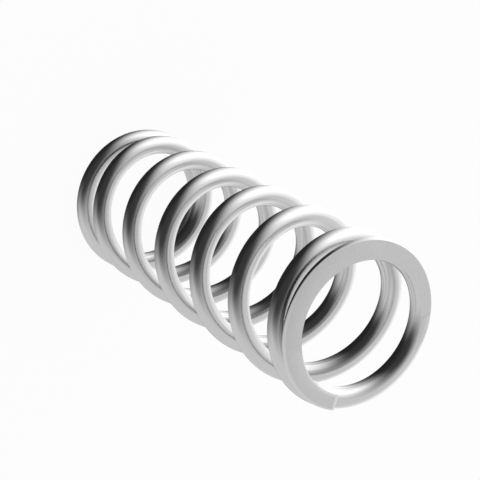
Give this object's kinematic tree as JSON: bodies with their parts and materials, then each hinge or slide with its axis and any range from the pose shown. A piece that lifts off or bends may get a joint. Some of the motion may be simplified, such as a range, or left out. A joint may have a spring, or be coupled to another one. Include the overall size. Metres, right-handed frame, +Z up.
{
  "type": "coil spring",
  "caption": "Cylindrical compression spring of round steel wire, right-hand wound, with closed and ground ends, that fits round a shock absorber and carries the load of a wheel.",
  "frame": {"origin": "on the coil axis, at the lower ground face that the spring stands on", "axes": "+Z up along the coil axis to the upper ground face, +X towards the upper tip of the wire"},
  "size_m": [0.0842, 0.0842, 0.228],
  "materials": {
    "spring_steel": "polished wire, matte where the ends are ground"
  },
  "bodies": {
    "root": {"coil_spring": "spring_steel"}
  },
  "joints": []
}
